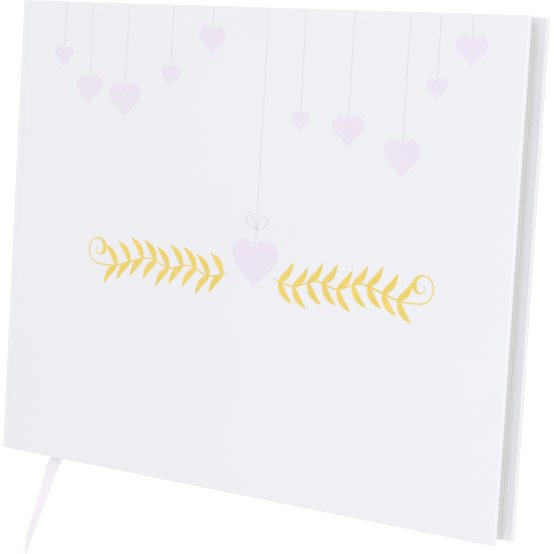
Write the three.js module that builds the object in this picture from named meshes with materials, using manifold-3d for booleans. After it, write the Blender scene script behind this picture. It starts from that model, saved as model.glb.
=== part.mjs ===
// Wedding guest book: a landscape, square-backed, case-bound book with thick leaves and a satin ribbon.
// It lies closed on its back cover. X runs from the spine (-) to the fore-edge (+), Y from the tail (-)
// to the head (+), and Z goes up from the outer face of the back cover. All lengths are millimetres.

import * as THREE from 'three';
import { mergeVertices } from 'three/addons/utils/BufferGeometryUtils.js';
import Module from 'manifold-3d';

const wasm = await Module();
wasm.setup();

// ---- Driving dimensions --------------------------------------------------------------------------

// Case
const cover_width = 240; // outer face of the spine to the fore-edge of the covers
const cover_height = 185; // tail edge to head edge of the covers
const board_thickness = 1.6; // greyboard in both covers
const spine_board_thickness = 1.5; // greyboard stiffener in the spine
const cover_paper = 0.16; // printed paper that wraps the boards
const turn_in = 15; // how far the cover paper is folded over the inner face of a board
const hinge_inset = 1.5; // hinge line in from the spine's outer face, and in from the cover's face
const joint_clearance = 0.38; // between a board's hinge-side edge and the spine's corner, as it turns
const pastedown_paper = 0.12; // half of the endpaper that is glued to the cover
const square = 3.2; // covers past the leaves: at the fore-edge, and on average at the head and tail
const leaf_drop = 1.7; // how far the leaves sit from the middle of the covers, towards the tail

// Leaves
const leaf_paper = 0.17;
const leaf_gap = 0.035; // air between two leaves of one signature
const sheets_per_signature = 4; // folded sheets, one inside the other
const signature_count = 5;
const signature_gap = 0.23; // air between two signatures, which lets them turn on their folds
const flyleaf_gap = 0.18; // air between the front flyleaf and the first signature
const cover_clearance = 0.06; // air between the leaves and the pastedowns

// Spine lining
const spine_hollow = 0.1; // air between the spine board and the liner
const liner_paper = 0.2; // kraft paper
const mull_cloth = 0.25; // open-weave cloth glued over the folds
const thread_thickness = 0.25;
const thread_width = 0.6;
const sewing_stations = 6;
const station_inset = 24; // first sewing station in from the head and tail of the leaves

// Head and tail bands
const band_bead = 1.2; // height of the bead above the edge of the leaves
const band_bead_width = 1.7;
const band_tape = 0.25; // thickness of the tape behind the bead
const band_tape_length = 9; // how far the tape is glued down the spine

// Ribbon
const ribbon_width = 6;
const ribbon_thickness = 0.25;
const ribbon_room = 0.12; // air above the ribbon, and below it
const ribbon_below = 1; // number of signatures under the ribbon
const ribbon_head_x = 8; // middle of the ribbon at the head, in from the spine's outer face
const ribbon_tail_x = 22; // middle of the ribbon at the tail, in from the spine's outer face

// Clearance between pieces that are glued face to face
const glue_line = 0.02;

// ---- Sizes that follow ---------------------------------------------------------------------------

const spine_face = -cover_width / 2;
const fore_edge = cover_width / 2;
const head_edge = cover_height / 2;
// The spine's corner is hinge_inset times the root of 2 from the hinge line, and the board turns past it.
const board_edge = spine_face + hinge_inset * (1 + Math.SQRT2) + joint_clearance;
const leaf_fore_edge = fore_edge - square;
const leaf_head = head_edge - square - leaf_drop;
const leaf_tail = -head_edge + square - leaf_drop;
const leaf_height = leaf_head - leaf_tail;

const board_bottom = cover_paper + glue_line;
const turn_in_bottom = board_bottom + board_thickness + glue_line;
const pastedown_bottom = turn_in_bottom + cover_paper + glue_line;
const cover_thickness = pastedown_bottom + pastedown_paper;

// Layers behind the folds, from the outside in
const spine_board_x = spine_face + cover_paper + glue_line;
const liner_x = spine_board_x + spine_board_thickness + spine_hollow;
const mull_x = liner_x + liner_paper + glue_line;
const lining_x = mull_x + mull_cloth + glue_line;
const fold_x = lining_x + Math.max(thread_thickness, band_tape) + glue_line;

// Layers of the block, from the back cover up
const leaf_pitch = leaf_paper + leaf_gap;
const signature_thickness = 2 * sheets_per_signature * leaf_pitch - leaf_gap;
const fold_radius = signature_thickness / 2;
const fold_centre_x = fold_x + fold_radius;
const block_bottom = cover_thickness + cover_clearance;
const first_signature_bottom = block_bottom + leaf_pitch;
const ribbon_slot = ribbon_thickness + 2 * ribbon_room;

// Bottom of the signature that has `below` signatures under it.
function signatureBottom(below) {
  const plain = first_signature_bottom + below * (signature_thickness + signature_gap);
  return below >= ribbon_below ? plain + ribbon_slot - signature_gap : plain;
}

const block_signatures_top = signatureBottom(signature_count - 1) + signature_thickness;
const flyleaf_bottom = block_signatures_top + flyleaf_gap;
const block_top = flyleaf_bottom + leaf_paper;
const total_thickness = block_top + cover_clearance + cover_thickness;
const ribbon_bottom = signatureBottom(ribbon_below) - ribbon_room - ribbon_thickness;

// ---- Materials -----------------------------------------------------------------------------------

function finish(color, roughness, metalness = 0) {
  return new THREE.MeshStandardMaterial({ color, roughness, metalness });
}

const printed_paper = finish(0xf0f1f6, 0.6);
const endpaper = finish(0xf6f5f7, 0.75);
const leaf_stock = finish(0xf4f3ef, 0.8);
const greyboard = finish(0xa39f98, 0.9);
const kraft = finish(0xb08d62, 0.85);
const gauze = finish(0xe4e0d4, 0.95);
const linen_thread = finish(0xf1eee6, 0.8);
const band_cotton = finish(0xf5f3f4, 0.7);
const satin = finish(0xf3ecf4, 0.35);

// ---- Geometry helpers ----------------------------------------------------------------------------

// A block between two corners.
function block(low, high) {
  const size = high.map((value, axis) => value - low[axis]);
  const middle = high.map((value, axis) => (value + low[axis]) / 2);
  return new THREE.BoxGeometry(...size).translate(...middle);
}

// A section drawn in X and Z, carried along Y and centred on the book's height.
function alongHeight(shape, length, curveSegments = 8) {
  const options = { depth: length, bevelEnabled: false, curveSegments };
  return new THREE.ExtrudeGeometry(shape, options).rotateX(Math.PI / 2).translate(0, length / 2, 0);
}

// An outline drawn in X and Y, carried up from one height to another.
function upward(shape, low, high, curveSegments = 8) {
  const options = { depth: high - low, bevelEnabled: false, curveSegments };
  return new THREE.ExtrudeGeometry(shape, options).translate(0, 0, low);
}

function outline(points) {
  return new THREE.Shape(points.map(([x, y]) => new THREE.Vector2(x, y)));
}

function solid(geometry) {
  const bare = geometry.clone();
  bare.deleteAttribute('normal');
  bare.deleteAttribute('uv');
  const merged = mergeVertices(bare, 1e-5);
  const vertProperties = new Float32Array(merged.getAttribute('position').array);
  const triVerts = new Uint32Array(merged.getIndex().array);
  return new wasm.Manifold(new wasm.Mesh({ numProp: 3, vertProperties, triVerts }));
}

function surface(manifold) {
  const mesh = manifold.getMesh();
  const geometry = new THREE.BufferGeometry();
  geometry.setAttribute('position', new THREE.BufferAttribute(new Float32Array(mesh.vertProperties), 3));
  geometry.setIndex(new THREE.BufferAttribute(new Uint32Array(mesh.triVerts), 1));
  return geometry;
}

// ---- Pieces --------------------------------------------------------------------------------------

const book = new THREE.Group();

function add(name, geometry, material, parent = book) {
  const mesh = new THREE.Mesh(geometry, material);
  mesh.name = name;
  parent.add(mesh);
  return mesh;
}

// Cover paper round three edges of a board: the outer sheet, the wrapped edges and the turn-ins.
function wrappedPaper() {
  const beyond = board_edge - 1;
  const body = solid(block([board_edge, -head_edge, 0], [fore_edge, head_edge, turn_in_bottom + cover_paper]));
  const inner_x = fore_edge - cover_paper;
  const inner_y = head_edge - cover_paper;
  const room = solid(block([beyond, -inner_y, cover_paper], [inner_x, inner_y, turn_in_bottom]));
  const window_x = inner_x - turn_in;
  const window_y = inner_y - turn_in;
  const above = turn_in_bottom + cover_paper + 1;
  const window = solid(block([beyond, -window_y, cover_paper], [window_x, window_y, above]));
  return surface(body.subtract(room).subtract(window));
}

function coverBoard() {
  const x = fore_edge - cover_paper - glue_line;
  const y = head_edge - cover_paper - glue_line;
  return block([board_edge, -y, board_bottom], [x, y, board_bottom + board_thickness]);
}

function pastedown(low_y, high_y) {
  return block(
    [board_edge, low_y, pastedown_bottom],
    [leaf_fore_edge, high_y, pastedown_bottom + pastedown_paper],
  );
}

// Cover paper over the joint, between the spine board and a cover board.
function jointPaper() {
  const start = spine_board_x;
  return block([start, -head_edge, 0], [board_edge - glue_line, head_edge, cover_paper]);
}

// Endpaper that crosses the joint from the pastedown to the leaves.
function endpaperJoint(low_y, high_y) {
  return block(
    [liner_x, low_y, pastedown_bottom],
    [board_edge - glue_line, high_y, pastedown_bottom + pastedown_paper],
  );
}

// Everything a cover is made of, outer face at Z = 0. `side` is back or front, and the endpaper runs from
// low_y to high_y.
function coverPieces(side, parent, low_y, high_y) {
  add(`${side}_cover_paper`, wrappedPaper(), printed_paper, parent);
  add(`${side}_board`, coverBoard(), greyboard, parent);
  add(`${side}_pastedown`, pastedown(low_y, high_y), endpaper, parent);
  add(`${side}_joint_paper`, jointPaper(), printed_paper, parent);
  add(`${side}_endpaper_joint`, endpaperJoint(low_y, high_y), endpaper, parent);
}

coverPieces('back', book, leaf_tail, leaf_head);

// The front cover is the back cover turned over end to end, so its outer face is uppermost.
const front = new THREE.Group();
front.rotation.x = Math.PI;
front.position.z = total_thickness;
coverPieces('front', front, -leaf_head, -leaf_tail);
book.add(front);

// Spine of the case: a stiff board, and the paper over it with its own turn-ins.
const spine_bottom = board_bottom;
const spine_top = total_thickness - board_bottom;
const spine_board_end = head_edge - cover_paper - glue_line;
const spine_board_inner = spine_board_x + spine_board_thickness;
add(
  'spine_board',
  block([spine_board_x, -spine_board_end, spine_bottom], [spine_board_inner, spine_board_end, spine_top]),
  greyboard,
);

// Only the outer sheet reaches the joints: the turn-ins stop at the hollow, clear of the liner.
function spinePaper() {
  const outer = solid(block([spine_face, -head_edge, 0], [spine_board_inner, head_edge, total_thickness]));
  const beyond = spine_board_inner + 1;
  const inner_x = spine_face + cover_paper;
  const inner_y = head_edge - cover_paper;
  const room = solid(block([inner_x, -inner_y, -1], [beyond, inner_y, total_thickness + 1]));
  const joint = board_bottom;
  const below = solid(block([inner_x, -head_edge - 1, -1], [beyond, head_edge + 1, joint]));
  const above = solid(
    block([inner_x, -head_edge - 1, total_thickness - joint], [beyond, head_edge + 1, total_thickness + 1]),
  );
  return surface(outer.subtract(room).subtract(below).subtract(above));
}
add('spine_paper', spinePaper(), printed_paper);

// Lining on the back of the leaves: kraft liner, then mull, then the sewing.
add(
  'spine_liner',
  block([liner_x, leaf_tail, block_bottom], [liner_x + liner_paper, leaf_head, block_top]),
  kraft,
);
add(
  'spine_mull',
  block([mull_x, leaf_tail, block_bottom], [mull_x + mull_cloth, leaf_head, block_top]),
  gauze,
);

// One thread links the signatures: up the folds at one station, along, and down at the next.
function sewingThread() {
  const low = first_signature_bottom + fold_radius - thread_width / 2;
  const high = block_signatures_top - fold_radius + thread_width / 2;
  const first = leaf_tail + station_inset;
  const step = (leaf_height - 2 * station_inset - thread_width) / (sewing_stations - 1);
  const far_x = lining_x + thread_thickness;
  const stitch = (y0, y1, z0, z1) => solid(block([lining_x, y0, z0], [far_x, y1, z1]));
  let thread = stitch(first, first + thread_width, low, high);
  for (let i = 1; i < sewing_stations; i += 1) {
    const y = first + i * step;
    const link_bottom = i % 2 === 1 ? high - thread_width : low;
    thread = thread.add(stitch(y - step, y + thread_width, link_bottom, link_bottom + thread_width));
    thread = thread.add(stitch(y, y + thread_width, low, high));
  }
  return surface(thread);
}
add('sewing_thread', sewingThread(), linen_thread);

// A band is a rounded bead on the edge of the leaves, with a tape glued down the spine.
function endBand() {
  const tape_x = lining_x;
  const bead_start = leaf_head + glue_line;
  const bead_top = bead_start + band_bead;
  const bead_x = tape_x + band_bead_width;
  const corner = band_bead_width / 2;
  const shape = new THREE.Shape();
  shape.moveTo(tape_x, leaf_head - band_tape_length);
  shape.lineTo(tape_x + band_tape, leaf_head - band_tape_length);
  shape.lineTo(tape_x + band_tape, bead_start);
  shape.lineTo(bead_x, bead_start);
  shape.lineTo(bead_x, bead_top - corner);
  shape.absarc(bead_x - corner, bead_top - corner, corner, 0, Math.PI, false);
  shape.lineTo(tape_x, leaf_head - band_tape_length);
  return upward(shape, block_bottom, block_top, 12);
}
add('headband', endBand(), band_cotton);
// The tailband is the same band, turned end over end.
const turned_band = endBand().rotateX(Math.PI);
add('tailband', turned_band.translate(0, leaf_head + leaf_tail, block_bottom + block_top), band_cotton);

// A folded sheet: two leaves joined by a round fold. Sheet 0 is the outermost of its signature.
function foldedSheet(middle, sheet) {
  const outer = fold_radius - sheet * leaf_pitch;
  const inner = outer - leaf_paper;
  const innermost = sheet === sheets_per_signature - 1;
  const shape = new THREE.Shape();
  shape.moveTo(leaf_fore_edge, middle - outer);
  shape.lineTo(leaf_fore_edge, middle - inner);
  if (innermost) {
    shape.lineTo(fold_centre_x, middle - inner);
    shape.lineTo(fold_centre_x, middle + inner);
  } else {
    shape.absarc(fold_centre_x, middle, inner, -Math.PI / 2, Math.PI / 2, true);
  }
  shape.lineTo(leaf_fore_edge, middle + inner);
  shape.lineTo(leaf_fore_edge, middle + outer);
  shape.absarc(fold_centre_x, middle, outer, Math.PI / 2, -Math.PI / 2, false);
  return alongHeight(shape, leaf_height, 10).translate(0, -leaf_drop, 0);
}

// Signature 1 is the first to be read, so it lies on top.
for (let number = 1; number <= signature_count; number += 1) {
  const middle = signatureBottom(signature_count - number) + fold_radius;
  for (let sheet = 0; sheet < sheets_per_signature; sheet += 1) {
    add(`signature_${number}_sheet_${sheet + 1}`, foldedSheet(middle, sheet), leaf_stock);
  }
}

// Flyleaves are single leaves, tipped on at the spine.
function flyleaf(bottom) {
  return block(
    [fold_centre_x, leaf_tail, bottom],
    [leaf_fore_edge, leaf_head, bottom + leaf_paper],
  );
}
add('back_flyleaf', flyleaf(block_bottom), endpaper);
add('front_flyleaf', flyleaf(flyleaf_bottom), endpaper);

// Ribbon between two signatures, from the head to the tail of the leaves.
const ribbon_head = [spine_face + ribbon_head_x, leaf_head];
const ribbon_tail = [spine_face + ribbon_tail_x, leaf_tail];
function ribbonInside() {
  const half = ribbon_width / 2;
  const shape = outline([
    [ribbon_tail[0] - half, ribbon_tail[1]],
    [ribbon_tail[0] + half, ribbon_tail[1]],
    [ribbon_head[0] + half, ribbon_head[1]],
    [ribbon_head[0] - half, ribbon_head[1]],
  ]);
  return upward(shape, ribbon_bottom, ribbon_bottom + ribbon_thickness);
}
add('ribbon_inside', ribbonInside(), satin);

// Free end of the ribbon: out over the square of the back cover, down, and along the table. The points
// are its middle line, measured from the tail of the leaves, the spine's outer face and the table.
const ribbon_route = [
  [22, -0.3, ribbon_bottom + ribbon_thickness / 2],
  [21.98, -2, ribbon_bottom + ribbon_thickness / 2],
  [21.1, -4.2, 3.7],
  [18.9, -6.8, 2.7],
  [16.5, -9.9, 1.6],
  [14.1, -14.9, 0.6],
  [11.8, -21.6, 0.2],
  [9.3, -28.9, 0.15],
  [6.9, -35.9, 0.15],
  [4.6, -42.4, 0.15],
  [2.2, -49.3, 0.15],
];

// A flat strip whose width stays level, carried along a smooth line through the points.
function strip(points, width, thickness, steps) {
  const places = points.map(([x, y, z]) => new THREE.Vector3(spine_face + x, leaf_tail + y, z));
  const line = new THREE.CatmullRomCurve3(places, false, 'centripetal');
  const up = new THREE.Vector3(0, 0, 1);
  const corners = [];
  const faces = [];
  for (let i = 0; i <= steps; i += 1) {
    const middle = line.getPointAt(i / steps);
    const along = line.getTangentAt(i / steps);
    const across = new THREE.Vector3().crossVectors(up, along).normalize();
    const normal = new THREE.Vector3().crossVectors(along, across);
    for (const [side, rise] of [[-1, -1], [1, -1], [1, 1], [-1, 1]]) {
      const corner = middle.clone();
      corner.addScaledVector(across, (side * width) / 2);
      corner.addScaledVector(normal, (rise * thickness) / 2);
      corners.push(corner.x, corner.y, corner.z);
    }
  }
  for (let i = 0; i < steps; i += 1) {
    for (let k = 0; k < 4; k += 1) {
      const a = 4 * i + k;
      const b = 4 * i + ((k + 1) % 4);
      faces.push(a, b, b + 4, a, b + 4, a + 4);
    }
  }
  const last = 4 * steps;
  faces.push(0, 2, 1, 0, 3, 2);
  faces.push(last, last + 1, last + 2, last, last + 2, last + 3);
  const geometry = new THREE.BufferGeometry();
  geometry.setAttribute('position', new THREE.Float32BufferAttribute(corners, 3));
  geometry.setIndex(faces);
  return geometry;
}
add('ribbon_tail', strip(ribbon_route, ribbon_width, ribbon_thickness, 40), satin);

export default book;
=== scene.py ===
"""A wedding guest book, lying closed on its back cover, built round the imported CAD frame.

X runs from the spine to the fore-edge, Y from the tail to the head, and Z up from the table. Blender works
in metres, and mm turns a size in millimetres into metres.
"""

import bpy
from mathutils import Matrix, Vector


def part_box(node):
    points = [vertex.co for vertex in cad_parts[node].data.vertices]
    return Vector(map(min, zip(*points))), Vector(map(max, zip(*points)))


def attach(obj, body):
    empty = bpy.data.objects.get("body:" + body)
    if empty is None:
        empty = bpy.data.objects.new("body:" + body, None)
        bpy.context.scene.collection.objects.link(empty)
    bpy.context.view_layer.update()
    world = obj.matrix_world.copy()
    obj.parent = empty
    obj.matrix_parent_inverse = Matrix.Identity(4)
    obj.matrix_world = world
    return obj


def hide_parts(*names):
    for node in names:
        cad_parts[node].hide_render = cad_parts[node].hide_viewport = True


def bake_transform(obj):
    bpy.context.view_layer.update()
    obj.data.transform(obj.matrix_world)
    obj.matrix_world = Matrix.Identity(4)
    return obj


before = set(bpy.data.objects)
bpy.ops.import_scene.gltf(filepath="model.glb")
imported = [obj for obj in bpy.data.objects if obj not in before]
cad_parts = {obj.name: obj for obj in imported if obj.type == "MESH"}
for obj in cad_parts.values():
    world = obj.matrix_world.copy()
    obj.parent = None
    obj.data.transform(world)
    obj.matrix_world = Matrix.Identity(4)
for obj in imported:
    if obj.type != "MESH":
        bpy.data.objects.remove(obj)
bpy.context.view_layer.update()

import math

import bmesh
import bpy
import numpy as np
from mathutils import Matrix, Vector

mm = 0.001

# ---- Camera --------------------------------------------------------------------------------------
# A long lens looks down on the front cover from the fore-edge side, with the head away from it. The
# camera is turned a little about its lens, so that the spine and the fore-edge look almost upright.

focal_length = 141.5
camera_place = Vector((509.7, 62.6, 661.2)) * mm
camera_aim = Vector((12.5, -8.5, 6.8)) * mm
camera_right = Vector((0.792, 0.058, -0.607))

camera_data = bpy.data.cameras.new("camera")
camera_data.lens = focal_length
camera_data.sensor_width = 36
camera_data.clip_start = 0.05
camera_data.clip_end = 20
camera = bpy.data.objects.new("camera", camera_data)
bpy.context.scene.collection.objects.link(camera)
camera_back = (camera_place - camera_aim).normalized()
camera_up = camera_back.cross(camera_right).normalized()
camera_right = camera_up.cross(camera_back)
camera.matrix_world = Matrix.Translation(camera_place) @ Matrix(
    (camera_right, camera_up, camera_back)
).transposed().to_4x4()
bpy.context.scene.camera = camera
bpy.context.scene.view_settings.view_transform = "Standard"


# ---- Floor and light -----------------------------------------------------------------------------
# A plain light table of white acrylic, lit from below, in a soft white room with one wide softbox.


class Shade:
    """A socket of a shader tree. Arithmetic on it adds Math nodes, and make adds any other node."""

    def __init__(self, tree, socket=None):
        self.tree = tree
        self.socket = socket

    def make(self, kind, inputs=None, out=0, **settings):
        """A node of that kind: its settings first, then the value or the link of each socket."""
        node = self.tree.nodes.new("ShaderNode" + kind)
        for name, value in settings.items():
            setattr(node, name, value)
        for name, value in (inputs or {}).items():
            if isinstance(value, Shade):
                self.tree.links.new(value.socket, node.inputs[name])
            else:
                node.inputs[name].default_value = value
        return None if out is None else Shade(self.tree, node.outputs[out])

    def math(self, operation, first, second=0.0):
        return self.make("Math", {0: first, 1: second}, operation=operation)

    def __add__(self, other):
        return self.math("ADD", self, other)

    __radd__ = __add__

    def __mul__(self, other):
        return self.math("MULTIPLY", self, other)

    __rmul__ = __mul__

    def mix(self, first, second):
        """The first colour where this value is 0, and the second where it is 1."""
        inputs = {0: self, 6: first, 7: second}
        return self.make("Mix", inputs, out=2, data_type="RGBA")

    def place(self):
        """The point of the piece, in metres."""
        return self.make("TexCoord", out=3)

    def noise(self, per_metre, detail=2.0):
        """Soft cloudy noise, about 0.5, with that many grains in a metre."""
        inputs = {"Vector": self.place(), "Scale": per_metre, "Detail": detail}
        return self.make("TexNoise", inputs)

    def bump(self, height, depth, strength=1.0):
        """A surface that rises and falls by depth metres as height goes from 0 to 1."""
        inputs = {"Height": height, "Distance": depth, "Strength": strength}
        return self.make("Bump", inputs)

    def stretched(self, x, y, z):
        """The place, scaled along each axis, for a pattern that runs one way."""
        inputs = {"Vector": self.place(), "Scale": (x, y, z)}
        return self.make("Mapping", inputs)


def material(name, dress):
    """A material whose Principled sockets come from dress, a function of an empty Shade."""
    made = bpy.data.materials.new(name)
    made.use_nodes = True
    made.node_tree.nodes.clear()
    start = Shade(made.node_tree)
    surface = start.make("BsdfPrincipled", dress(start))
    start.make("OutputMaterial", {"Surface": surface}, out=None)
    return made


def pale_table(shade):
    """White acrylic that glows evenly from below."""
    tone = shade.noise(3, 3)
    return {
        "Base Color": tone.mix((0.3, 0.3, 0.3, 1), (0.31, 0.31, 0.31, 1)),
        "Roughness": 0.9,
        "Specular IOR Level": 0.1,
        "Emission Color": (1.0, 1.0, 1.0, 1),
        "Emission Strength": 0.75,
    }


def skin(points, around=False, ends=False, facing=None):
    """The points, four-sided faces and end faces of a grid of points, rows by columns, facing out.

    around joins the last column to the first, and ends closes the first and last rows. A face's area
    vector is half the cross product of its diagonals. An open skin's areas add up to the way of the vector
    facing. A closed skin's areas point away from its middle, which is the mean of its points.
    """
    rows, columns = points.shape[:2]
    index = np.arange(rows * columns).reshape(rows, columns)
    ring = np.c_[index, index[:, :1]] if around else index
    corners = (ring[:-1, :-1], ring[:-1, 1:], ring[1:, 1:], ring[1:, :-1])
    faces = np.stack(corners, -1).reshape(-1, 4)
    flat = points.reshape(-1, 3)
    a, b, c, d = (flat[faces[:, k]] for k in range(4))
    area = np.cross(c - a, d - b) / 2
    if facing is None:
        middle = (a + b + c + d) / 4 - flat.mean(0)
        inside_out = np.einsum("ij,ij->", middle, area) < 0
    else:
        inside_out = area.sum(0) @ np.array(facing) < 0
    caps = [index[0, ::-1], index[-1]] if ends else []
    if inside_out:
        return flat, faces[:, ::-1], [cap[::-1] for cap in caps]
    return flat, faces, caps


def piece(name, *skins, finish=None, smooth=True, merge=1e-7):
    """An object at the origin, made of one or more skins whose meeting points are merged."""
    grids, faces, caps = zip(*skins)
    starts = np.cumsum([0, *map(len, grids)])
    all_faces = np.concatenate([start + each for start, each in zip(starts, faces)]).tolist()
    all_caps = [(start + cap).tolist() for start, each in zip(starts, caps) for cap in each]
    mesh = bpy.data.meshes.new(name)
    mesh.from_pydata(np.concatenate(grids).tolist(), [], all_faces + all_caps)
    work = bmesh.new()
    work.from_mesh(mesh)
    bmesh.ops.remove_doubles(work, verts=work.verts, dist=merge)
    bmesh.ops.dissolve_degenerate(work, edges=work.edges, dist=merge)
    work.to_mesh(mesh)
    work.free()
    mesh.polygons.foreach_set("use_smooth", np.full(len(mesh.polygons), smooth))
    made = bpy.data.objects.new(name, mesh)
    bpy.context.scene.collection.objects.link(made)
    if finish:
        mesh.materials.append(finish)
    return made


table_reach = 4.0
table_drop = 0.02 * mm
table_x, table_y = np.meshgrid([-table_reach, table_reach], [-table_reach, table_reach])
table_grid = np.stack([table_x, table_y, 0 * table_x - table_drop], -1)
table = piece("table", skin(table_grid, facing=(0, 0, 1)), finish=material("pale_table", pale_table))

room = bpy.data.worlds.new("room")
room.use_nodes = True
room.node_tree.nodes["Background"].inputs["Color"].default_value = (1.0, 1.0, 1.0, 1)
room.node_tree.nodes["Background"].inputs["Strength"].default_value = 0.9
bpy.context.scene.world = room


def softbox(name, place, aim, width, height, power):
    """A rectangular lamp at place, facing aim."""
    lamp = bpy.data.lights.new(name, "AREA")
    lamp.shape = "RECTANGLE"
    lamp.size = width
    lamp.size_y = height
    lamp.energy = power
    made = bpy.data.objects.new(name, lamp)
    bpy.context.scene.collection.objects.link(made)
    away = Vector(place) - Vector(aim)
    made.matrix_world = Matrix.Translation(place) @ away.to_track_quat("Z", "Y").to_matrix().to_4x4()


softbox("softbox", (1.5, 0.3, 2.3), (0, 0, 0), 1.7, 1.7, 31)

# ---- Ribbon --------------------------------------------------------------------------------------
# Six millimetre single-faced satin, glued to the spine and laid between two signatures. Its free end
# leaves at the tail, drops over the back cover, lies on the table and is cut on a slant.

ribbon_width = 6 * mm
ribbon_thickness = 0.22 * mm
ribbon_cut = 8 * mm
ribbon_roll = 0.4  # radians
spine_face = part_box("spine_paper")[0].x
leaf_low, leaf_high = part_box("back_flyleaf")
inside_low, inside_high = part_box("ribbon_inside")
ribbon_exit_height = (inside_low.z + inside_high.z) / 2

# The middle line of the free end, in millimetres from the spine's outer face, the leaves' tail edge and
# the table.
ribbon_points = [
    (22, -0.3, ribbon_exit_height / mm),
    (21.98, -2, ribbon_exit_height / mm),
    (21.1, -4.2, 3.7),
    (18.9, -6.8, 2.7),
    (16.5, -9.9, 1.6),
    (14.1, -14.9, 0.6),
    (11.8, -21.6, 0.2),
    (9.3, -28.9, 0.15),
    (6.9, -35.9, 0.15),
    (4.6, -42.4, 0.15),
    (2.2, -49.3, 0.15),
]


def smooth_line(points, steps):
    """Evenly spaced points on a smooth line through the given ones, with the way it runs at each.

    Between two points the line is a cubic whose slope at each is the slope from one neighbour to the other.
    """
    given = np.array(points, float)
    ends = np.concatenate([[2 * given[0] - given[1]], given, [2 * given[-1] - given[-2]]])
    slopes = (ends[2:] - ends[:-2]) / 2
    t = np.linspace(0, 1, 40, endpoint=False)[:, None, None]
    a, b, da, db = given[:-1], given[1:], slopes[:-1], slopes[1:]
    cubic = (
        (2 * t**3 - 3 * t**2 + 1) * a
        + (t**3 - 2 * t**2 + t) * da
        + (3 * t**2 - 2 * t**3) * b
        + (t**3 - t**2) * db
    )
    fine = np.concatenate([cubic.transpose(1, 0, 2).reshape(-1, given.shape[1]), given[-1:]])
    far = np.r_[0, np.cumsum(np.linalg.norm(np.diff(fine, axis=0), axis=1))]
    even = np.linspace(0, far[-1], steps + 1)
    line = np.stack([np.interp(even, far, fine[:, k]) for k in range(fine.shape[1])], -1)
    along = np.gradient(line, axis=0)
    return line, along / np.linalg.norm(along, axis=1, keepdims=True), far[-1]


def satin_strip(line, along, cut=0.0, roll=0.0):
    """A ribbon's skin: a flat oval section with a thick selvedge on each side, carried along a line.

    Across the ribbon a point goes from -1 to 1 over the top and back underneath. roll tips the section
    about the line, and over the last cut metres the right side runs in to the left in a straight slant.
    """
    turn = np.linspace(0, 2 * np.pi, 28, endpoint=False)
    side = np.sign(np.cos(turn)) * np.abs(np.cos(turn)) ** 0.35
    selvedge = 1 + 0.45 * np.exp(-(((np.abs(side) - 0.93) / 0.05) ** 2))
    rise = np.sign(np.sin(turn)) * np.abs(np.sin(turn)) ** 0.3 * selvedge * ribbon_thickness / 2
    left = np.cross((0, 0, 1), along)
    left /= np.linalg.norm(left, axis=1, keepdims=True)
    up = np.cross(along, left)
    lean = np.broadcast_to(roll, len(line))[:, None]
    left, up = left * np.cos(lean) + up * np.sin(lean), up * np.cos(lean) - left * np.sin(lean)
    travel = np.r_[0, np.cumsum(np.linalg.norm(np.diff(line, axis=0), axis=1))]
    slant = np.clip((travel - travel[-1] + cut) / cut, 0, 0.985) if cut else travel * 0
    across = (side[None] * (1 - slant[:, None]) + slant[:, None]) * ribbon_width / 2
    return line[:, None] + across[..., None] * left[:, None] + rise[None, :, None] * up[:, None]


def satin(shade):
    """Satin floats run along the ribbon, so it is glossy with fine cross threads and a soft sheen."""
    weft = shade.make("TexWave", {"Vector": shade.place(), "Scale": 900, "Distortion": 1.5}, out=1)
    cloud = shade.noise(90, 3)
    return {
        "Base Color": cloud.mix((0.79, 0.745, 0.8, 1), (0.83, 0.785, 0.84, 1)),
        "Roughness": 0.34 + 0.1 * weft,
        "Sheen Weight": 0.35,
        "Sheen Roughness": 0.4,
        "Normal": shade.bump(weft, 0.02 * mm, 0.35),
    }


satin_finish = material("ribbon_satin", satin)


def off_page(x, y, z):
    """A point in metres, given in millimetres off the spine's face, the leaves' tail edge and the table."""
    return (spine_face + x * mm, leaf_low.y + y * mm, z * mm)


free_line, free_way, free_length = smooth_line([off_page(*point) for point in ribbon_points], 150)
# It rolls on to one selvedge along its length, and is lifted so that this selvedge rests on the table.
free_share = np.clip(np.linspace(-0.25, 1.3, len(free_line)), 0, 1)
free_roll = ribbon_roll * free_share**2 * (3 - 2 * free_share)
free_line[:, 2] += np.sin(free_roll) * ribbon_width / 2
ribbon_tail = piece(
    "ribbon_tail_satin",
    skin(satin_strip(free_line, free_way, ribbon_cut, free_roll), around=True, ends=True),
    finish=satin_finish,
)
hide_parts("ribbon_tail")
off_page(0, -38, 0)
off_page(0, -1, 0)
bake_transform(ribbon_tail)

# Between the leaves it runs straight across from the head to the tail, with both ends cut level.
page_head = np.array((inside_low.x + ribbon_width / 2, leaf_high.y, ribbon_exit_height))
page_tail = np.array((inside_high.x - ribbon_width / 2, leaf_low.y - 0.3 * mm, ribbon_exit_height))
page_line = page_head + (page_tail - page_head) * np.linspace(0, 1, 61)[:, None]
page_way = np.broadcast_to((0.0, -1.0, 0.0), page_line.shape)
ribbon_page = piece(
    "ribbon_inside_satin",
    skin(satin_strip(page_line, page_way), around=True, ends=True),
    finish=satin_finish,
)
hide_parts("ribbon_inside")
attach(ribbon_page, "text_block")

# ---- Cover papers --------------------------------------------------------------------------------
# Matt white printed paper is glued over each board. It folds round the head, tail and fore-edge with a
# small round, and its turn-ins meet in a mitre at each corner of the inner face.

back_low, back_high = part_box("back_cover_paper")
book_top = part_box("spine_paper")[1].z
cover_depth = back_high.z - back_low.z
half_height = back_high.y
fore_edge = back_high.x
board_edge = back_low.x
paper = 0.16 * mm
turn_in = 15.16 * mm
edge_round = 0.42 * mm
corner_round = 0.4 * mm


def quarter(first, last, count=7):
    """Sines and cosines of the angles from first to last, in quarter turns."""
    angle = np.linspace(first, last, count) * np.pi / 2
    return np.sin(angle), np.cos(angle)


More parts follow.
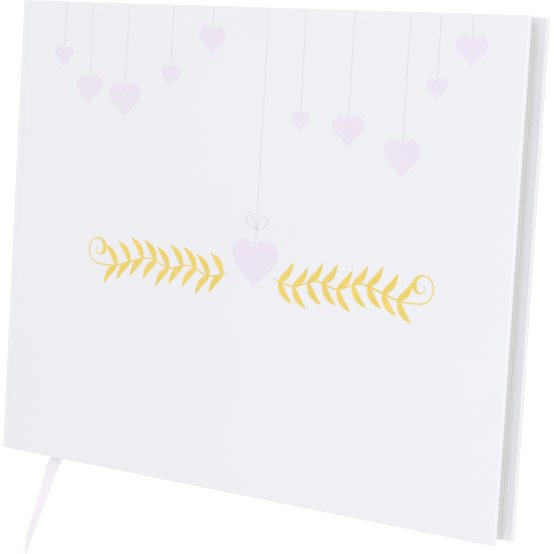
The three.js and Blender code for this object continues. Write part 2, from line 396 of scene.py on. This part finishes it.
def cover_skin(height_of):
    """The paper's outer skin. Each row is the cover's outline, set in by some distance, at one depth.

    The rows start at the edge of the turn-in, go out over the inner face, round the edge in two quarter
    circles, and in over the outer face until the tail side and the head side meet along the middle.
    """
    over_s, over_c = quarter(0, 1)
    inset = np.r_[
        turn_in,
        turn_in - 0.2 * mm,
        edge_round * 1.6,
        edge_round * (1 - over_s),
        edge_round * (1 - over_c)[1:],
        edge_round * 1.6,
        np.array([2, 6, 16, 40]) * mm,
        half_height,
    ]
    inner_arc = cover_depth - edge_round * (1 - over_c)
    outer_arc = edge_round * (1 - over_s)
    depth = np.r_[np.full(3, cover_depth), inner_arc, outer_arc[1:], np.zeros(6)]
    corner = np.minimum(np.maximum(corner_round - inset, 0.01 * mm), half_height - inset)[:, None]
    half = (half_height - inset)[:, None]
    far = (fore_edge - inset)[:, None]
    # The first steps along a side are tiny, so that the rim's shading doesn't spread over the cover.
    run = np.r_[0, 0.0002, 0.003, np.linspace(0.012, 1, 15)][None]
    side_s, side_c = quarter(0, 1, 9)
    tail_x = board_edge + (far - corner - board_edge) * run
    tail_y = -half + 0 * run
    turn_x = far - corner + corner * side_s[None]
    turn_y = -half + corner - corner * side_c[None]
    fore_y = (half - corner) * (2 * run - 1)
    x = np.concatenate([tail_x, turn_x, far + 0 * run, turn_x[:, ::-1], tail_x[:, ::-1]], 1)
    y = np.concatenate([tail_y, turn_y, fore_y, -turn_y[:, ::-1], -tail_y[:, ::-1]], 1)
    return np.stack([x, y, np.broadcast_to(height_of(depth)[:, None], x.shape)], -1)


def printed_paper(shade):
    """Matt paper: faint clouds of tone, fine fibres that catch the light, and slightly uneven gloss."""
    dark = (0.702, 0.707, 0.735, 1)
    light = (0.722, 0.727, 0.755, 1)
    cloud = shade.noise(24, 3)
    fibre = shade.noise(2600, 3)
    tooth = shade.noise(700, 2)
    return {
        "Base Color": cloud.mix(dark, light),
        "Roughness": 0.5 + 0.12 * tooth,
        "Specular IOR Level": 0.35,
        "Normal": shade.bump(fibre + tooth, 0.012 * mm, 0.25),
    }


paper_finish = material("cover_paper", printed_paper)


def thicken(made, thickness):
    """Gives a skin its thickness, inwards."""
    wall = made.modifiers.new("thickness", "SOLIDIFY")
    wall.thickness = thickness
    wall.offset = -1


def from_back(depth):
    """The height of a point that is that deep in from the back cover's outer face."""
    return depth


def from_front(depth):
    """The height of a point that is that deep in from the front cover's outer face."""
    return book_top - depth


for side, height_of, facing in (("back", from_back, (0, 0, -1)), ("front", from_front, (0, 0, 1))):
    wrap = piece(
        f"{side}_cover_wrap",
        skin(cover_skin(height_of), facing=facing),
        finish=paper_finish,
    )
    thicken(wrap, paper)
    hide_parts(f"{side}_cover_paper")
    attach(wrap, f"{side}_cover")

# ---- Spine and joints ----------------------------------------------------------------------------
# The same sheet goes on over the square spine. Over each joint it has no board under it, and is pressed
# in a little by the binder's bone folder. It is the paper that bends when a cover opens.

spine_round = 0.4 * mm
spine_depth = 1.68 * mm
joint_dip = 0.1 * mm
joint_turn_in = 15 * mm
joint_fold = 0.34 * mm


def spine_skin():
    """The paper over the spine: rows go round the section from the back joint to the front joint.

    The section is a straight side between two quarter circles. The columns run from the inner end of the
    turn-in at the head, over the edge in a quarter circle, down the spine and in again at the tail.
    """
    arc_s, arc_c = quarter(0, 1)
    across = np.r_[spine_round * (1 - arc_s), 0, spine_round * (1 - arc_c)]
    up = np.r_[spine_round * (1 - arc_c), book_top / 2, book_top - spine_round * (1 - arc_s)]
    fold_s, fold_c = quarter(0, 1, 6)
    folded_y = half_height - edge_round * (1 - fold_c)
    head_y = np.r_[half_height, folded_y, half_height - edge_round * 2, half_height / 2]
    depth = np.r_[spine_depth, edge_round * (1 - fold_s), 0, 0]
    y = np.r_[head_y, 0, -head_y[::-1]]
    inward = np.r_[depth, 0, depth[::-1]]
    share = inward / spine_depth
    x = spine_face + across[:, None] * (1 - share)[None] + inward[None]
    under_joint = np.clip(inward / spine_round, 0, 1) * 2 * joint_fold / book_top
    z = book_top / 2 + (up[:, None] - book_top / 2) * (1 - under_joint)[None]
    return np.stack([x, np.broadcast_to(y[None], x.shape), z], -1)


def joint_skin(height_of):
    """The paper over a joint: rows cross the joint from the spine's round to the board's edge.

    It dips as the square of a sine across the joint. Each column runs along the joint, folded back
    under itself at the head and the tail.
    """
    share = np.r_[0, 0.01, np.linspace(0.06, 0.94, 15), 0.99, 1]
    x = spine_face + spine_round + (board_edge - spine_face - spine_round) * share
    dip = joint_dip * np.sin(np.pi * share) ** 2
    fold_s, fold_c = quarter(-1, 1, 11)
    reach = edge_round * 0.7
    head_y = np.r_[half_height - joint_turn_in, half_height - reach * (1 - fold_c), half_height / 2]
    fold = np.r_[joint_fold, joint_fold * (1 - fold_s) / 2, 0]
    y = np.r_[head_y, 0, -head_y[::-1]]
    depth = np.r_[fold, 0, fold[::-1]]
    z = height_of(dip[:, None] + depth[None])
    return np.stack([np.broadcast_to(x[:, None], z.shape), np.broadcast_to(y[None], z.shape), z], -1)


spine_wrap = piece("spine_wrap", skin(spine_skin(), facing=(-1, 0, 0)), finish=paper_finish)
thicken(spine_wrap, paper)
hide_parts("spine_paper")
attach(spine_wrap, "text_block")

for side, height_of, facing in (("back", from_back, (0, 0, -1)), ("front", from_front, (0, 0, 1))):
    joint = piece(
        f"{side}_joint_wrap",
        skin(joint_skin(height_of), facing=facing),
        finish=paper_finish,
    )
    thicken(joint, paper)
    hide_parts(f"{side}_joint_paper")
    outer = height_of(0)
    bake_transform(joint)

# ---- Leaves and endpapers ------------------------------------------------------------------------
# Twenty sheets of white uncoated paper are folded in five signatures, sewn through the folds and cut
# flush on three sides. A leaf bends near its fold. The endpapers are heavier and smoother.

leaf_paper = 0.17 * mm
leaf_bend = 24 * mm
trim_slack = 0.04 * mm
signatures = 5
sheets_each = 4
leaf_tail, leaf_head = leaf_low.y, leaf_high.y


def band(x, z, low_y, high_y, thickness):
    """A band of paper along a line of points in X and Z, with the four corners of its cut section.

    A corner lies half the thickness off the line, square to the way the line runs there.
    """
    way = np.gradient(np.stack([x, z], -1), axis=0)
    way /= np.linalg.norm(way, axis=1, keepdims=True)
    off_x, off_z = way[:, 1] * thickness / 2, -way[:, 0] * thickness / 2
    corners = ((low_y, 1), (high_y, 1), (high_y, -1), (low_y, -1))
    rims = [np.stack([x + side * off_x, y + 0 * x, z + side * off_z], -1) for y, side in corners]
    return np.stack(rims, 1)


def bend_marks(near, far):
    """Places along a leaf, close together where it bends, and then to its fore-edge."""
    return np.r_[np.linspace(near, near + leaf_bend, 14), np.linspace(near + leaf_bend, far, 5)[1:]]


def text_paper(shade):
    """Uncoated paper: a warm white, with a dry surface and short fibres."""
    fibre = shade.noise(1900, 4)
    dark = (0.675, 0.675, 0.67, 1)
    light = (0.705, 0.705, 0.702, 1)
    return {
        "Base Color": shade.noise(60, 3).mix(dark, light),
        "Roughness": 0.8 + 0.1 * fibre,
        "Specular IOR Level": 0.2,
        "Normal": shade.bump(fibre, 0.01 * mm, 0.3),
    }


leaf_finish = material("text_paper", text_paper)
endpaper_finish = material("endpaper", printed_paper)

for signature in range(1, signatures + 1):
    for sheet in range(1, sheets_each + 1):
        name = f"signature_{signature}_sheet_{sheet}"
        low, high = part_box(name)
        middle = (low.z + high.z) / 2
        radius = (high.z - low.z - leaf_paper) / 2
        fold_x = low.x + leaf_paper / 2 + radius
        # The guillotine leaves the sheets a few hundredths of a millimetre uneven.
        far = high.x - trim_slack * (1 + math.sin(2.4 * (sheets_each * signature + sheet)))
        lower = bend_marks(fold_x, far)[::-1]
        turn = np.linspace(-0.5, 0.5, 9)[1:-1] * np.pi
        x = np.r_[lower, fold_x - radius * np.cos(turn), lower[::-1]]
        z = middle + radius * np.r_[-1 + 0 * lower, np.sin(turn), 1 + 0 * lower]
        leaf = piece(
            f"leaf_{signature}_{sheet}",
            skin(band(x, z, leaf_tail, leaf_head, leaf_paper), around=True, ends=True),
            finish=leaf_finish,
            smooth=False,
        )
        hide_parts(name)
        if signature == signatures:
            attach(leaf, "text_block")
        else:
            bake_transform(leaf)

for side in ("back", "front"):
    low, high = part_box(f"{side}_flyleaf")
    x = bend_marks(low.x, high.x)
    height = (low.z + high.z) / 2
    flyleaf = piece(
        f"{side}_flyleaf_paper",
        skin(band(x, height + 0 * x, low.y, high.y, high.z - low.z), around=True, ends=True),
        finish=endpaper_finish,
        smooth=False,
    )
    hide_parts(f"{side}_flyleaf")
    if side == "back":
        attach(flyleaf, "text_block")
    else:
        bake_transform(flyleaf)


ramp = 1.2 * mm
sink = 0.13 * mm


def pastedown_skin(low, high, level, sunk):
    """The pasted leaf's free face. It lies level on the turn-ins and sinks between them to the board.

    The step down is a ramp along the edges of the turn-ins: over its width the share s sunk is
    3 s^2 - 2 s^3, so that it starts and ends level.
    """
    step = turn_in + np.linspace(0, 1, 5) * ramp
    rim = np.array([0, 0.2, 0.6]) * mm
    y = np.r_[low.y + rim, -(half_height - step), np.linspace(-60, 60, 7) * mm]
    y = np.r_[y, half_height - step[::-1], high.y - rim[::-1]]
    x = np.r_[low.x + rim, np.linspace(low.x, fore_edge - step[-1], 9)[1:]]
    x = np.r_[x, fore_edge - step[-2::-1], high.x - rim[::-1]]
    grid_x, grid_y = np.meshgrid(x, y)
    inside = np.minimum(half_height - np.abs(grid_y), fore_edge - grid_x)
    share = np.clip((inside - turn_in) / ramp, 0, 1)
    return np.stack([grid_x, grid_y, level + sunk * share**2 * (3 - 2 * share)], -1)


for side, facing in (("back", 1), ("front", -1)):
    low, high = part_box(f"{side}_pastedown")
    level = high.z if facing > 0 else low.z
    pasted = piece(
        f"{side}_pastedown_paper",
        skin(pastedown_skin(low, high, level, -sink * facing), facing=(0, 0, facing)),
        finish=endpaper_finish,
    )
    thicken(pasted, high.z - low.z)
    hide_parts(f"{side}_pastedown")
    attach(pasted, f"{side}_cover")
    low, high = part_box(f"{side}_endpaper_joint")
    x = np.linspace(low.x, high.x, 11)
    height = (low.z + high.z) / 2
    crossing = piece(
        f"{side}_endpaper_crossing",
        skin(band(x, height + 0 * x, low.y, high.y, high.z - low.z), around=True, ends=True),
        finish=endpaper_finish,
        smooth=False,
    )
    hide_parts(f"{side}_endpaper_joint")
    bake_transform(crossing)

# ---- Head and tail bands -------------------------------------------------------------------------
# A band is white cotton thread wound over a cord, woven on to a tape that is glued to the folds.

band_winding = 0.45 * mm
tape_thickness = 0.25 * mm
tape_tuck = 0.3 * mm
tape_depth = 9 * mm


def band_cotton(shade):
    """Twisted cotton: a soft matt white."""
    return {
        "Base Color": shade.noise(400, 2).mix((0.78, 0.77, 0.74, 1), (0.86, 0.85, 0.82, 1)),
        "Roughness": 0.75,
        "Sheen Weight": 0.3,
        "Normal": shade.bump(shade.noise(3000, 2), 0.02 * mm, 0.4),
    }


def band_bead(low, high, outer, leaf_end, way):
    """The wound cord: an oval section, drawn in between windings by 0.12 of 1 - |sin| of the height."""
    across = (high.x - low.x) / 2
    raised = (outer - leaf_end) / 2
    z = np.linspace(low.z, high.z, 177)
    ridge = 1 - 0.12 * (1 - np.abs(np.sin(np.pi * (z - low.z) / band_winding)))[:, None]
    turn = np.linspace(0, 2 * np.pi, 14, endpoint=False)[None]
    x = (low.x + high.x) / 2 + across * ridge * np.cos(turn)
    y = way * (outer - raised + raised * ridge * np.sin(turn))
    return np.stack([x, y, np.broadcast_to(z[:, None], x.shape)], -1)


def band_tape(low, high, leaf_end, way):
    """The tape: a thin rectangle that runs down the folds from under the cord."""
    rim_x = np.array([0, 0, tape_thickness, tape_thickness]) + low.x
    rim_z = np.array([low.z, high.z, high.z, low.z])
    down = way * np.linspace(leaf_end + tape_tuck, leaf_end - tape_depth, 9)[:, None]
    return np.stack(np.broadcast_arrays(rim_x, down, rim_z), -1)


band_finish = material("band_cotton", band_cotton)
for name, way in (("headband", 1), ("tailband", -1)):
    low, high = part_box(name)
    outer = high.y if way > 0 else -low.y
    leaf_end = leaf_head if way > 0 else -leaf_tail
    woven = piece(
        f"{name}_woven",
        skin(band_bead(low, high, outer, leaf_end, way), around=True, ends=True),
        skin(band_tape(low, high, leaf_end, way), around=True, ends=True),
        finish=band_finish,
    )
    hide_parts(name)
    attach(woven, "text_block")

# ---- Boards, linings and thread ------------------------------------------------------------------
# Inside the case and behind the folds: greyboard, a kraft liner, open mull cloth and linen thread.


def greyboard(shade):
    """Pressed waste paper: grey, with specks and a rough face."""
    speck = shade.noise(1500, 5)
    return {
        "Base Color": speck.mix((0.27, 0.26, 0.24, 1), (0.42, 0.41, 0.38, 1)),
        "Roughness": 0.9,
        "Normal": shade.bump(speck, 0.03 * mm, 0.4),
    }


def kraft(shade):
    """Brown paper, whose long fibres run from head to tail."""
    grain = shade.stretched(900, 120, 900)
    fibre = shade.make("TexNoise", {"Vector": grain, "Scale": 1.0, "Detail": 3.0})
    return {
        "Base Color": fibre.mix((0.4, 0.26, 0.15, 1), (0.52, 0.36, 0.21, 1)),
        "Roughness": 0.75,
        "Normal": shade.bump(fibre, 0.02 * mm, 0.3),
    }


def mull(shade):
    """Open-weave cloth, with threads both ways."""
    wave = {"Vector": shade.place(), "Scale": 175.0}
    warp = shade.make("TexWave", wave, bands_direction="Y", out=1)
    weft = shade.make("TexWave", wave, bands_direction="Z", out=1)
    weave = shade.math("MAXIMUM", warp, weft)
    return {
        "Base Color": weave.mix((0.5, 0.46, 0.38, 1), (0.8, 0.77, 0.7, 1)),
        "Roughness": 0.9,
        "Normal": shade.bump(weave, 0.1 * mm, 0.6),
    }


def linen(shade):
    """Waxed linen thread: a pale straw colour, with twisted strands."""
    strand = shade.noise(2500, 2)
    return {
        "Base Color": strand.mix((0.66, 0.63, 0.55, 1), (0.78, 0.75, 0.68, 1)),
        "Roughness": 0.7,
        "Normal": shade.bump(strand, 0.04 * mm, 0.5),
    }


for dress, names in (
    (greyboard, ("front_board", "back_board", "spine_board")),
    (kraft, ("spine_liner",)),
    (mull, ("spine_mull",)),
    (linen, ("sewing_thread",)),
):
    finish = material(dress.__name__, dress)
    for name in names:
        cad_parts[name].data.materials.clear()
        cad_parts[name].data.materials.append(finish)

# ---- Hearts on strings ---------------------------------------------------------------------------
# Pale lilac ink on the front cover. Eleven hearts hang on thin strings from the head edge, and a small
# bow is tied above the middle one.

ink = 0.02 * mm


def on_cover(x, y):
    """A point of the front cover, given in millimetres from the spine edge and down from the head edge."""
    return np.stack([spine_face + np.asarray(x) * mm, half_height - np.asarray(y) * mm], -1)


def plate(outline, height):
    """A thin flat plate over a closed outline of X and Y points that can be seen from its middle."""
    middle = outline.mean(0)
    rows = []
    for scale, level in ((1, 0), (1, height), (0.6, height), (0.03, height)):
        rim = middle + (outline - middle) * scale
        rows.append(np.c_[rim, np.full(len(rim), book_top + level)])
    return skin(np.stack(rows), around=True, ends=True)


def heart(x, top, width):
    """A heart: 14.6 sin^3 t + 1.8 sin t (1 - cos t) across, and 0.93 times its height up.

    The height is 13 cos t - 5 cos 2t - 2 cos 3t - cos 4t, with t once round from the notch. The second
    part of the width fills out the lower flanks.
    """
    t = np.linspace(0, 2 * np.pi, 64, endpoint=False)
    across = 14.6 * np.sin(t) ** 3 + 1.8 * np.sin(t) * (1 - np.cos(t))
    up = 13 * np.cos(t) - 5 * np.cos(2 * t) - 2 * np.cos(3 * t) - np.cos(4 * t)
    scale = width / 32
    return plate(on_cover(x + across * scale, top + (12 - up) * scale * 0.93), ink)


def stroke(points, width_of, height, steps=120):
    """A flat stroke along a smooth line on the cover, which rises a little, so that it can cross itself.

    width_of gives its width in mm from how far along a point is, from 0 to 1, and the way the line runs.
    """
    line, way, _ = smooth_line([(*p, 0.0) for p in points], steps)
    share = np.linspace(0, 1, len(line))
    half = (width_of(share, way) / 2)[:, None]
    side = np.stack([-way[:, 1], way[:, 0]], -1) * half
    left, right = on_cover(*(line[:, :2] + side).T), on_cover(*(line[:, :2] - side).T)
    top = height * (1 + 0.3 * share)
    sides = ((left, 0 * top), (left, top), (right, top), (right, 0 * top))
    grid = np.stack([np.c_[rim, book_top + level] for rim, level in sides], 1)
    return skin(grid, around=True, ends=True)


def steady(width):
    """A width that stays the same all along a stroke."""
    return lambda share, way: width + 0 * share


def lilac(shade):
    """Thin lilac ink, which leaves the paper's matt tooth."""
    return {
        "Base Color": shade.noise(60, 2).mix((0.69, 0.625, 0.725, 1), (0.715, 0.65, 0.75, 1)),
        "Roughness": 0.5,
        "Specular IOR Level": 0.35,
        "Normal": shade.bump(shade.noise(2600, 3), 0.01 * mm, 0.2),
    }


def string_grey(shade):
    """Thin grey ink."""
    return {
        "Base Color": shade.noise(60, 2).mix((0.57, 0.56, 0.6, 1), (0.6, 0.59, 0.63, 1)),
        "Roughness": 0.55,
    }


# For each heart: how far it is from the spine edge, how far its top is from the head edge, and its width.
hearts = [
    (24, 18, 9.5),
    (38.5, 29, 13.5),
    (57.5, 31, 16),
    (80.5, 23.5, 9.5),
    (100.5, 8, 12.5),
    (127, 87, 21.5),
    (144.5, 38, 8.5),
    (166.5, 38, 14),
    (191, 45.5, 16),
    (204, 23, 9),
    (217.5, 7.5, 13),
]
heart_skins = (heart(*each) for each in hearts)
heart_prints = piece("heart_prints", *heart_skins, finish=material("lilac_ink", lilac), smooth=False)
# A string ends in the notch of its heart, which is this share of the width below the heart's top.
notch = 0.19
strings = [
    stroke([(x, 0.6), (x, top + notch * width)], steady(0.3), ink * 0.8, 2) for x, top, width in hearts
]
bow = [
    [(127, 83.2), (124.4, 82.6), (122.2, 80.6), (122.4, 78.6), (124.2, 78.4), (125.8, 80.2), (127, 83.2)],
    [(127, 83.2), (129.6, 82.8), (131.8, 81), (131.8, 79), (130, 78.6), (128.2, 80.4), (127, 83.2)],
]
strings += [stroke(loop, steady(0.35), ink * height, 40) for loop, height in zip(bow, (1.1, 1.4))]
string_prints = piece("string_prints", *strings, finish=material("string_ink", string_grey), smooth=False)
for printed in (heart_prints, string_prints):
    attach(printed, "front_cover")

# ---- Gold foil sprigs ----------------------------------------------------------------------------
# Two leafy sprigs in hot-stamped gold foil, drawn as if with a pointed pen: a stroke is thick where it
# runs down and thin where it runs up.

foil = 0.03 * mm
lean = math.radians(50)


def pen(thick, thin=0.4):
    """Pointed-pen width: it grows with how steeply the line runs down, and tapers at both ends."""

    def width_of(share, way):
        down = np.clip(way[:, 1], 0, 1) ** 1.5
        taper = np.clip(np.minimum(share, 1 - share) / 0.06, 0.05, 1)
        return (thin + (thick - thin) * down) * np.sqrt(taper)

    return width_of


def blade(width):
    """A leaf's width: the sine of pi s^0.75, so that it is widest before the middle and ends in a point."""
    return lambda share, way: width * (np.sin(np.pi * share**0.75) ** 0.8 + 0.03)


def spiral(x, y, radius, turns, start, way):
    """Points of a spiral that winds in round a centre, as its reach shrinks evenly with the angle."""
    share = np.linspace(0, 1, 14)
    angle = start + way * 2 * np.pi * turns * share
    reach = radius * (1 - 0.85 * share)
    return list(zip(x + reach * np.cos(angle), y + reach * np.sin(angle)))


def leaves_on(stem, first, last, count=9, length=10):
    """Pairs of leaves at even steps along a stem, one above it and one below, leaning towards its far end."""
    line = smooth_line([(*p, 0.0) for p in stem], 400)[0]
    line = line[np.argsort(line[:, 0])]
    outward = math.copysign(math.cos(lean), last - first)
    leaves = []
    for x in np.linspace(first, last, count):
        foot = np.array((x, np.interp(x, line[:, 0], line[:, 1])))
        for side in (-math.sin(lean), math.sin(lean)):
            along = np.array((outward, side)) * length
            across = np.array((-along[1], along[0])) * 0.09
            leaves.append(stroke([foot, foot + along / 2 + across, foot + along], blade(2.6), foil * 1.9, 36))
    return leaves


# The two sprigs are mirror images on either side of the largest heart.
heart_middle = 125.5
right_stem = [(136, 101), (146, 103), (156, 100), (166, 102), (176, 99), (185, 101), (194, 103.5)]
right_stem += spiral(203, 97.5, 6, 1.35, np.pi / 2, -1)
left_stem = [(2 * heart_middle - x, y) for x, y in right_stem]
sprigs = [
    stroke(left_stem, pen(1.9, 0.55), foil, 220),
    stroke(right_stem, pen(1.9, 0.55), foil, 220),
    *leaves_on(left_stem, 112, 58),
    *leaves_on(right_stem, 139, 193),
]


def gold(shade):
    """Bright foil, slightly wrinkled by the paper under it."""
    cloud = shade.noise(170, 2)
    return {
        "Base Color": cloud.mix((0.86, 0.63, 0.14, 1), (0.95, 0.75, 0.22, 1)),
        "Metallic": 0.85,
        "Roughness": 0.32 + 0.12 * shade.noise(500, 2),
        "Normal": shade.bump(shade.noise(800, 2), 0.015 * mm, 0.3),
    }


gold_sprigs = piece("gold_sprigs", *sprigs, finish=material("gold_foil", gold), smooth=False, merge=1e-9)
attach(gold_sprigs, "front_cover")
